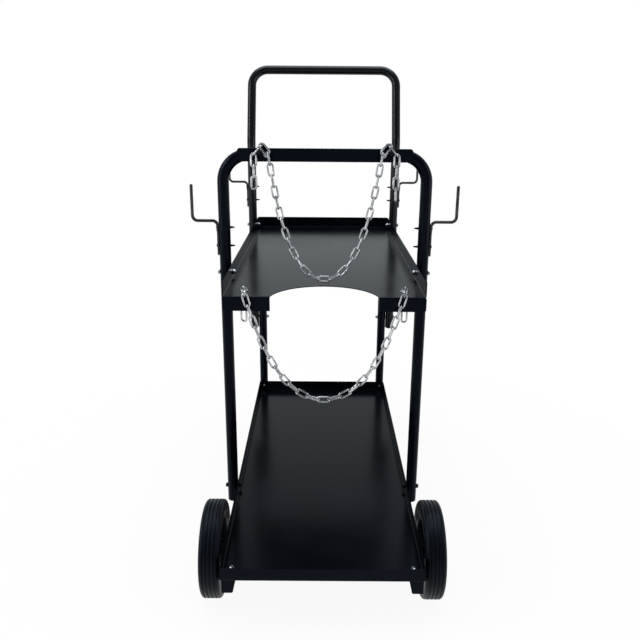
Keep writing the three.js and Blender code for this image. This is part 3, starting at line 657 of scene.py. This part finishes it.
above = Vector((0, 0, 1))
end_slope = (low_points[0].z - low_points[1].z) / (low_points[1].x - low_points[0].x)
edge_x = rest_x - (link_width - link_wire) / 4 / end_slope
for hand, side in hands.items():
    edge = Vector((side * edge_x, lower_chain_y, rest_z))
    reach = (Vector((side * keyhole_x, keyhole_y, rest_z)) - edge).normalized()
    edge = edge - reach * (inside + apart)
    hole = edge + reach * lower_pitch * 2
    drop = [hole + reach * inside + above * inside]
    for _ in range(end_links):
        drop.append(drop[-1] - above * lower_pitch)
    chain_piece("lower_chain_end_" + hand, [
        ([edge, edge + reach * lower_pitch, hole], reach.cross(above)),
        (drop, reach.cross(above), side * end_twist),
    ], lower_link)

# %% [markdown]
# ## Turned shapes
# Wheels, plugs, pegs and bolts are all turned about an axis. Their outline is drawn once, as
# pairs of radius and distance in millimetres, and spun a full turn about Z. A matrix then aims
# the axis and puts the shape in its place.

# %% Spinning an outline, and aiming it


def aim(direction, origin):
    turn = Vector(direction).to_track_quat("Z", "Y").to_matrix().to_4x4()
    return Matrix.Translation(origin) @ turn


def turned(outline, place, steps=48):
    shape = bmesh.new()
    row = [shape.verts.new((mm(radius), 0, mm(along))) for radius, along in outline]
    for first, second in zip(row, row[1:] + row[:1]):
        if first.co.x > 0 or second.co.x > 0:
            shape.edges.new((first, second))
    bmesh.ops.spin(
        shape, geom=shape.verts[:] + shape.edges[:], cent=(0, 0, 0), axis=(0, 0, 1),
        angle=2 * math.pi, steps=steps, use_merge=True, use_duplicate=False,
    )
    outwards(shape)
    shape.transform(place)
    return shape


def hexagon(across_flats, low, high, place, corner=0.45):
    shape = bmesh.new()
    radius = mm(across_flats / math.sqrt(3))
    bmesh.ops.create_cone(
        shape, cap_ends=True, segments=6, radius1=radius, radius2=radius, depth=mm(high - low),
        matrix=Matrix.Translation((0, 0, mm((low + high) / 2))),
    )
    round_edges(shape, shape.edges[:], corner)
    shape.transform(place)
    return shape


print("ready to turn outlines and to make hexagons")

# %% [markdown]
# ## Bolts
# M6 flange bolts hold the cart together. Seen close, such a bolt is a chamfered hexagon on a thin
# round flange with a slight dome on top, and at the other end a nut with two or three turns of
# thread past it. The thread is a row of small ridges, which is enough at this size.

# %% Flange bolts with their nuts
bolt_gap = 0.3
tray_face_x = 176.0
tray_lip_y = 736.5
tray_floor_z = 102.5
bracket_under_z = 98.2
bracket_bolt_x = 161
bracket_bolt_y = -80
crossbar_bolt_x = 106.5
crossbar_face_y = 170.7
low_bolt_z = 113.5
high_bolt_z = 577
low_leg_z = 318
high_leg_z = 385


def flange_bolt(node, head_seat, nut_seat, finish):
    head_seat, nut_seat = at(*head_seat), at(*nut_seat)
    way = (nut_seat - head_seat).normalized()
    grip = (nut_seat - head_seat).length * 1000 + bolt_gap
    place = aim(way, head_seat)
    flange = [(0, -0.3), (4.9, -0.3), (5.0, -0.6), (4.9, -1.0), (4.0, -1.4), (0, -1.4)]
    dome = [(0, -4.3), (2.2, -4.25), (2.9, -4.05), (2.9, -3.9), (0, -3.9)]
    thread = [(0, -0.3)]
    for turn_number in range(int(grip + 5.0)):
        thread += [(3.0, turn_number - 0.1), (2.72, turn_number + 0.4)]
    thread += [(2.6, grip + 5.4), (2.2, grip + 5.8), (0, grip + 5.8)]
    shape = gather(
        turned(flange, place, 24),
        hexagon(8.0, -4.1, -1.1, place),
        turned(dome, place, 20),
        turned(thread, place, 12),
        hexagon(8.4, grip, grip + 4.2, place),
        turned([(0, grip), (4.8, grip), (4.8, grip + 0.8), (0, grip + 0.8)], place, 24),
    )
    return make_piece(shape, node + "_m6", finish, (node,), crisp=30)


for hand, side in hands.items():
    outer = side * (frame_x + tube_radius)
    tray = side * tray_face_x
    leg = side * leg_x
    leg_face = side * (leg_x - tube_radius)
    bracket = side * bracket_bolt_x
    crossbar = side * crossbar_bolt_x
    leg_back = handle_y + tube_radius
    frame_back = frame_y + tube_radius
    runs = {
        "frame_bolt_low_": ((outer, frame_y, low_bolt_z), (tray, frame_y, low_bolt_z)),
        "frame_bolt_high_": ((outer, frame_y, high_bolt_z), (tray, frame_y, high_bolt_z)),
        "handle_bolt_": ((outer, handle_y, high_bolt_z), (tray, handle_y, high_bolt_z)),
        "leg_bolt_low_": ((outer, handle_y, low_leg_z), (leg_face, handle_y, low_leg_z)),
        "leg_bolt_high_": ((outer, handle_y, high_leg_z), (leg_face, handle_y, high_leg_z)),
        "tray_bolt_": ((leg, leg_back, low_bolt_z), (leg, tray_lip_y, low_bolt_z)),
        "bracket_bolt_": (
            (bracket, bracket_bolt_y, tray_floor_z),
            (bracket, bracket_bolt_y, bracket_under_z),
        ),
        "crossbar_bolt_": (
            (crossbar, crossbar_face_y, frame_top_z),
            (crossbar, frame_back, frame_top_z),
        ),
    }
    for start, (head_seat, nut_seat) in runs.items():
        finish = bolt_black if start == "frame_bolt_low_" else bolt_zinc
        flange_bolt(start + hand, head_seat, nut_seat, finish)
print("bolts:", 2 * len(runs))

# %% [markdown]
# ## Plugs and pegs
# The open lower ends of the tubes are closed with domed plastic plugs. Each end of the upper
# chain lies over a short round peg with a rounded tip.

# %% Tube plugs and chain pegs
plug_outline = [
    (0, -4), (4.5, -3.8), (7.6, -3.1), (9.8, -2.0), (10.7, -1.1), (11, -0.3),
    (7.9, -0.3), (7.9, 11.2), (7.2, 12), (0, 12),
]
for hand, side in hands.items():
    ends = {
        "frame_plug_" + hand: (frame_y, frame_low_z),
        "handle_plug_" + hand: (handle_y, handle_low_z),
    }
    for node, (y, z) in ends.items():
        shape = turned(plug_outline, Matrix.Translation(at(side * frame_x, y, z)), 32)
        make_piece(shape, node + "_cap", rim_plastic, (node,))
    node = "chain_peg_" + hand
    low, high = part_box(node)
    length = (high.y - low.y) * 1000
    middle = (low + high) / 2
    peg_outline = [(0, 0), (1.6, 0.1), (2.6, 0.7), (3, 1.7), (3, length), (0, length)]
    shape = turned(peg_outline, aim((0, 1, 0), Vector((middle.x, low.y, middle.z))), 20)
    make_piece(shape, node + "_pin", powder_coat, (node,))
print("plug and peg pieces: 6")

# %% [markdown]
# ## Cable hooks
# A hook is one steel rod. Its lower end is hammered flat to a strap that two self-drilling screws
# hold against the tube, and the rod bends out and up so that a cable can be laid over it. The rod
# uses the same extrude and spin as the tubes, and its lower rim is pulled thinner and wider until
# it sinks into the strap. The strap is a block whose corners are bevelled round, and the screws
# show as a domed head outside and a sharp tip inside the tube.

# %% Dark plated steel for the hooks
hook_steel = zinc_plating("dark_plated_hook_steel", "#4a4b4c", "#2b2c2d", 0.40, 0.26, 12)
print("finish:", hook_steel.name)

# %% The rods, straps and screws
hook_gap = 0.3
tube_face = frame_x + tube_radius + hook_gap
rod_radius = 3
rod_bend = mm(9.9)
rod_foot = 16
rod_reach = 47
rod_rise = 68
strap_thick = 3
strap_width = 10
strap_length = 63
strap_top = {"near": 672, "far": 687}
hook_y = {"near": frame_y, "far": handle_y}
screw_above_end = 19
screw_below_top = 9

# the rounded tip: width as a share of the rod, and length of each step as a share of its radius
tip_steps = ((0.92, 0.25), (0.7, 0.35), (0.38, 0.2))
tip_length = rod_radius * sum(step for share, step in tip_steps)
# the flattened foot: thinner and wider with each step
foot_steps = ((0.90, 1.12), (0.78, 1.18), (0.72, 1.13))
foot_step_length = 3.4


def round_end(shape, rim):
    before = 1.0
    for share, step in tip_steps:
        rim = pull_rim(shape, rim, (0, 0, mm(rod_radius) * step), (share / before,) * 3)
        before = share
    bmesh.ops.edgeloop_fill(shape, edges=rim)


def flatten_end(shape, rim):
    for thinner, wider in foot_steps:
        rim = pull_rim(shape, rim, (0, 0, -mm(foot_step_length)), (thinner, wider, 1))
    bmesh.ops.edgeloop_fill(shape, edges=rim)


def hook_rod(side, y, height):
    rod = bmesh.new()
    middle = side * (tube_face + strap_thick / 2)
    tip = middle + side * rod_reach
    last = bent_line(rod, [
        at(middle, y, height - rod_foot),
        at(middle, y, height),
        at(tip, y, height),
        at(tip, y, height + rod_rise - tip_length),
    ], [rod_bend, rod_bend], mm(rod_radius), 16, 8)
    first = [e for e in rod.edges if e.is_boundary and e not in set(last)]
    flatten_end(rod, first)
    round_end(rod, last)
    for vert in rod.verts:
        vert.co.x = side * max(side * vert.co.x, mm(tube_face))
    outwards(rod)
    return rod


def hook_strap(side, y, top):
    shape = bmesh.new()
    bmesh.ops.create_cube(shape, size=1.0)
    size = (mm(strap_thick), mm(strap_width), mm(strap_length))
    bmesh.ops.scale(shape, vec=size, verts=shape.verts)
    corners = [e for e in shape.edges if abs((e.verts[0].co - e.verts[1].co).x) > mm(1)]
    round_edges(shape, corners, 4.6, 6)
    round_edges(shape, [e for e in shape.edges if e.calc_face_angle(0) > math.radians(60)], 0.5)
    middle = at(side * (tube_face + strap_thick / 2), y, top - strap_length / 2)
    bmesh.ops.translate(shape, verts=shape.verts, vec=middle)
    return shape


def hook_screw(side, y, z):
    place = aim((-side, 0, 0), at(side * (tube_face + strap_thick), y, z))
    head = [(0, -1.9), (1.6, -1.8), (3.0, -1.3), (3.7, -0.5), (3.8, 0), (0, 0)]
    shank = [(0, 0)]
    for ridge in range(17):
        shank += [(2.4, ridge * 1.7), (1.9, ridge * 1.7 + 0.85)]
    shank += [(1.9, 29.2), (1.6, 31.5), (0, 34.5)]
    return gather(turned(head, place, 24), turned(shank, place, 12))


for row, top in strap_top.items():
    y = hook_y[row]
    screw_heights = (top - strap_length + screw_above_end, top - screw_below_top)
    for hand, side in hands.items():
        node = "cable_hook_" + row + "_" + hand
        shape = gather(hook_rod(side, y, top + rod_radius), hook_strap(side, y, top))
        make_piece(shape, node + "_rod", hook_steel, (node,), crisp=50)
        for order, z in enumerate(screw_heights, 1):
            name = node + "_screw_" + str(order)
            screw = hook_screw(side, y, z)
            make_piece(screw, name, bolt_black, body="cart", crisp=50)
print("hooks: 4, screws: 8")

# %% [markdown]
# ## Rear wheels
# A solid rubber tyre sits on a moulded rim. The tread has ribs that run right round, which show
# from behind as fine bright lines. The outline of the tyre is spun about the axle. The rim is a
# barrel and a hub, also spun, with a web between them that has five windows: the web starts as a
# ring of faces, the faces of each window are deleted, and solidify and bevel give the rest its
# thickness and rounded edges.

# %% Tyre outline with ribbed tread
wheel_x = 201.0
wheel_radius = 89.0
tyre_half = 19.0


def tyre_outline():
    bead = 60.3
    side_profile = [
        (bead, 0.80), (62.0, 0.86), (66.5, 0.90), (67.3, 0.95), (70.0, 0.965), (74.0, 0.99),
        (79.0, 1.0), (83.5, 0.975), (86.3, 0.90), (87.8, 0.82), (88.3, 0.76),
    ]
    low = [(radius, -share * tyre_half) for radius, share in side_profile]
    high = [(radius, share * tyre_half) for radius, share in reversed(side_profile)]
    tread = []
    tread_half = 0.74 * tyre_half
    for groove in range(4):
        middle = tread_half * ((2 * groove + 1) / 4 - 1)
        tread += [
            (88.95, middle - 1.7), (88.7, middle - 1.25), (87.1, middle - 0.95),
            (87.1, middle + 0.95), (88.7, middle + 1.25), (88.95, middle + 1.7),
        ]
    return low + tread + high


for hand, side in hands.items():
    node = "rear_tyre_" + hand
    shape = turned(tyre_outline(), aim((side, 0, 0), at(side * wheel_x, 0, wheel_radius)), 96)
    piece = make_piece(shape, node + "_rubber", tyre_rubber, (node,), crisp=38)
    print(piece.name, len(piece.data.polygons), "faces")

# %% Rim with a windowed web
web_radii = [15.5, 22, 27, 37, 46, 50, 57]
web_thick = 6
window_step = 360 / 5


def rim_web(place):
    web = bmesh.new()
    row = [web.verts.new((mm(radius), 0, 0)) for radius in web_radii]
    for first, second in zip(row, row[1:]):
        web.edges.new((first, second))
    bmesh.ops.spin(
        web, geom=web.verts[:] + web.edges[:], cent=(0, 0, 0), axis=(0, 0, 1),
        angle=2 * math.pi, steps=80, use_merge=True, use_duplicate=False,
    )
    bmesh.ops.remove_doubles(web, verts=web.verts, dist=mm(0.01))
    gone = []
    for face in web.faces:
        middle = face.calc_center_median()
        radius = middle.length * 1000
        share = math.degrees(math.atan2(middle.y, middle.x)) % window_step / window_step
        half_width = 0.32 if 27 < radius < 46 else 0.26
        if 22 < radius < 50 and abs(share - 0.5) < half_width:
            gone.append(face)
    bmesh.ops.delete(web, geom=gone, context="FACES")
    bmesh.ops.recalc_face_normals(web, faces=web.faces)
    bmesh.ops.translate(web, verts=web.verts, vec=(0, 0, mm(web_thick / 2)))
    bmesh.ops.solidify(web, geom=web.faces[:], thickness=mm(web_thick))
    bmesh.ops.recalc_face_normals(web, faces=web.faces)
    inner = [e for e in web.edges if len(e.link_faces) == 2]
    round_edges(web, [e for e in inner if e.calc_face_angle(0) > math.radians(70)], 0.8)
    web.transform(place)
    return web


barrel_outline = [
    (56, -15.2), (59.2, -15.2), (60, -14.6), (60, 14.6), (59.2, 15.2), (56.6, 15.2), (56, 14.6),
    (56, -14.6),
]
hub_outline = [
    (6.35, -25.3), (9.6, -25.3), (10, -24.9), (10, -22.9), (16.2, -22.9), (17, -22.1), (17, -4),
    (18.2, -3), (18.2, 3), (17, 4), (17, 12.2), (16.2, 13), (6.35, 13),
]
for hand, side in hands.items():
    node = "rear_rim_" + hand
    place = aim((side, 0, 0), at(side * wheel_x, 0, wheel_radius))
    barrel = turned(barrel_outline, place, 96)
    hub = turned(hub_outline, place, 48)
    shape = gather(barrel, hub, rim_web(place))
    piece = make_piece(shape, node + "_moulding", rim_plastic, (node,))
    print(piece.name, len(piece.data.polygons), "faces")

# %% [markdown]
# ## Axle and cap nuts
# One straight rod carries both wheels, and a cap nut closes each end.

# %% The axle and its nuts
axle_end_x = 214.6
nut_gap = 0.3
axle_outline = [
    (0, -axle_end_x), (5.2, -axle_end_x), (6, 0.8 - axle_end_x),
    (6, axle_end_x - 0.8), (5.2, axle_end_x), (0, axle_end_x),
]
collar_outline = [(0, 0), (10.6, 0), (10.6, 0.7), (9.6, 1.2), (0, 1.2)]
dome_outline = [(0, 5), (7.6, 5), (7.5, 6.2), (6.4, 7.2), (4, 7.8), (0, 8)]
shape = turned(axle_outline, aim((1, 0, 0), at(0, 0, wheel_radius)), 24)
make_piece(shape, "axle_rod", fork_zinc, ("axle",))
for hand, side in hands.items():
    node = "axle_nut_" + hand
    place = aim((side, 0, 0), at(side * (axle_end_x + nut_gap), 0, wheel_radius))
    shape = gather(
        turned(collar_outline, place, 32),
        hexagon(19, 1.0, 6, place, 0.8),
        turned(dome_outline, place, 32),
    )
    make_piece(shape, node + "_cap", bolt_zinc, (node,))
print("axle pieces: 3")

# %% [markdown]
# ## Casters
# Each leg stands on a small swivel caster: a stem with a ball race, a pressed fork and a wheel
# with a rubber tread. All the round parts are spun; the fork was softened with the other sheets.

# %% Stems, wheels, treads and axles of the casters
caster_trail = 22
caster_radius = 31.5
race_z = 70.7
collar_z = 79.7
fork_half = 15.8
wheel_outline = [
    (4.35, -12.7), (8.4, -12.7), (9, -12.1), (9, -3.6), (9.8, -3), (19.2, -3), (20, -3.8),
    (20, -8.4), (20.6, -9), (24, -9), (24, 9), (20.6, 9), (20, 8.4), (20, 3.8), (19.2, 3),
    (9.8, 3), (9, 3.6), (9, 12.1), (8.4, 12.7), (4.35, 12.7),
]
tread_outline = [
    (24.3, -10), (26, -10.6), (28.5, -11), (30.3, -9.6), (31.2, -7.6), (31.48, -5), (31.48, 5),
    (31.2, 7.6), (30.3, 9.6), (28.5, 11), (26, 10.6), (24.3, 10),
]
pin_outline = [
    (0, -fork_half - 4), (4, -fork_half - 4), (4, fork_half + 5.4), (3.4, fork_half + 6),
    (0, fork_half + 6),
]


def stem_outline(bottom, top):
    foot = [(0, bottom), (5.6, bottom), (6.4, bottom + 0.8), (6.4, bottom + 3), (4, bottom + 3)]
    race = [
        (4, 0), (16.2, 0), (17, 0.8), (16.9, 2.2), (15.9, 2.8), (16.4, 3.4), (16.2, 4.6), (15, 6),
        (12, 6),
    ]
    collar = [(12, collar_z - 0.4), (11.6, collar_z), (7.9, collar_z)]
    tip = [(7.9, top - 1), (7, top), (0, top)]
    return foot + [(radius, race_z + rise) for radius, rise in race] + collar + tip


for hand, side in hands.items():
    node = "caster_stem_" + hand
    low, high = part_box(node)
    upright_place = Matrix.Translation(at(side * leg_x, handle_y, 0))
    shape = turned(stem_outline(low.z * 1000, high.z * 1000), upright_place, 40)
    make_piece(shape, node + "_race", fork_zinc, (node,))

    place = aim((1, 0, 0), at(side * leg_x, handle_y - caster_trail, caster_radius))
    node = "caster_wheel_" + hand
    shape = turned(wheel_outline, place, 56)
    make_piece(shape, node + "_core", rim_plastic, (node,))
    node = "caster_tyre_" + hand
    shape = turned(tread_outline, place, 56)
    make_piece(shape, node + "_tread", tyre_rubber, (node,))
    node = "caster_axle_" + hand
    shape = gather(
        turned(pin_outline, place, 20),
        hexagon(12.8, -fork_half - 4, -fork_half, place),
        hexagon(12.8, fork_half, fork_half + 5, place),
    )
    make_piece(shape, node + "_bolt", bolt_zinc, (node,))
print("caster pieces: 8")

# %% [markdown]
# ## Studio
# The picture has a plain white ground, so the room is white for the camera. What mirrors the
# room sees a softer one: bright at the horizon, paler above and dim on the photographer's side,
# and that is what keeps the black tubes black. The floor is part matt paint and part glow, and
# all glow further out, so it runs into the white room and still holds a soft shadow near by.

# %% A floor that is white and still holds a shadow
shadow_reach = 0.45
all_glow_from = 1.0


def either(tree, first, second):
    return put(tree, "Math", {0: first, 1: second}, operation="MAXIMUM").outputs[0]


def white_floor(name, near_glow):
    material, tree, place = new_finish(name)
    distance = put(tree, "VectorMath", {0: place}, operation="LENGTH").outputs["Value"]
    glow = ramp(tree, distance, [(shadow_reach, near_glow), (all_glow_from, 1.0)])
    ray = put(tree, "LightPath").outputs
    seen = either(tree, ray["Is Camera Ray"], ray["Is Glossy Ray"])
    seen = either(tree, seen, ray["Is Transmission Ray"])
    share = put(tree, "Math", {0: seen, 1: glow}, operation="MULTIPLY")
    matt = put(tree, "BsdfDiffuse", {"Color": hex_colour("#e9e9e9")})
    light = put(tree, "Emission", {"Color": hex_colour("#ffffff"), "Strength": 1.0})
    mixed = put(tree, "MixShader", {
        0: share.outputs[0],
        1: matt.outputs[0],
        2: light.outputs[0],
    })
    put(tree, "OutputMaterial", {"Surface": mixed.outputs[0]})
    return material


shape = bmesh.new()
bmesh.ops.create_grid(shape, x_segments=1, y_segments=1, size=20)
floor_mesh = bpy.data.meshes.new("studio_floor")
shape.to_mesh(floor_mesh)
shape.free()
floor_mesh.materials.append(white_floor("matt_white_floor", 0.93))
floor = bpy.data.objects.new("studio_floor", floor_mesh)
bpy.context.scene.collection.objects.link(floor)
print("stage:", floor.name)

# %% World and lamps
world = bpy.data.worlds.new("studio_room")
bpy.context.scene.world = world
world.use_nodes = True
tree = world.node_tree
tree.nodes.clear()
ray = put(tree, "LightPath").outputs
direction = put(tree, "TexCoord").outputs["Generated"]
parts = put(tree, "SeparateXYZ", {0: direction}).outputs
height = ramp(tree, parts["Z"], [
    (0.03, 1.0),
    (0.14, 0.68),
    (0.20, 0.64),
    (0.27, 0.52),
    (0.40, 0.84),
])
depth = put(tree, "MapRange", {
    "Value": parts["Y"],
    "From Min": -0.5,
    "From Max": 0.2,
    "To Min": 0.4,
    "To Max": 1.0,
})
room = put(tree, "Math", {0: height, 1: depth.outputs[0]}, operation="MULTIPLY")
mirrored = either(tree, ray["Is Glossy Ray"], ray["Is Transmission Ray"])
bright = put(tree, "Background", {"Color": hex_colour("#ffffff"), "Strength": 1.0})
soft = put(tree, "Background", {"Color": hex_colour("#f0fafd"), "Strength": room.outputs[0]})
dim = put(tree, "Background", {"Color": hex_colour("#c8ccd2"), "Strength": 0.35})
shown = put(tree, "MixShader", {0: mirrored, 1: dim.outputs[0], 2: soft.outputs[0]})
choice = put(tree, "MixShader", {
    0: ray["Is Camera Ray"],
    1: shown.outputs[0],
    2: bright.outputs[0],
})
put(tree, "OutputWorld", {"Surface": choice.outputs[0]})


def soft_lamp(name, place, target, size, power):
    data = bpy.data.lights.new(name, "AREA")
    data.shape = "RECTANGLE"
    data.size, data.size_y = size
    data.energy = power
    lamp = bpy.data.objects.new(name, data)
    lamp.location = place
    aimed = Vector(target) - Vector(place)
    lamp.rotation_euler = aimed.to_track_quat("-Z", "Y").to_euler()
    bpy.context.scene.collection.objects.link(lamp)
    return lamp


soft_lamp("overhead", (0, 0.4, 3.2), (0, 0, 0.4), (2.6, 2.6), 78)
soft_lamp("key", (-2.6, -1.5, 1.3), (0, 0, 0.6), (1.3, 2.1), 30)
soft_lamp("fill", (2.7, -1.1, 1.2), (0, 0, 0.6), (1.2, 1.9), 22)
soft_lamp("strip", (-2.8, -0.75, 2.5), (0, 0.4, 0.9), (0.3, 1.2), 26)
bpy.context.scene.view_settings.view_transform = "Standard"
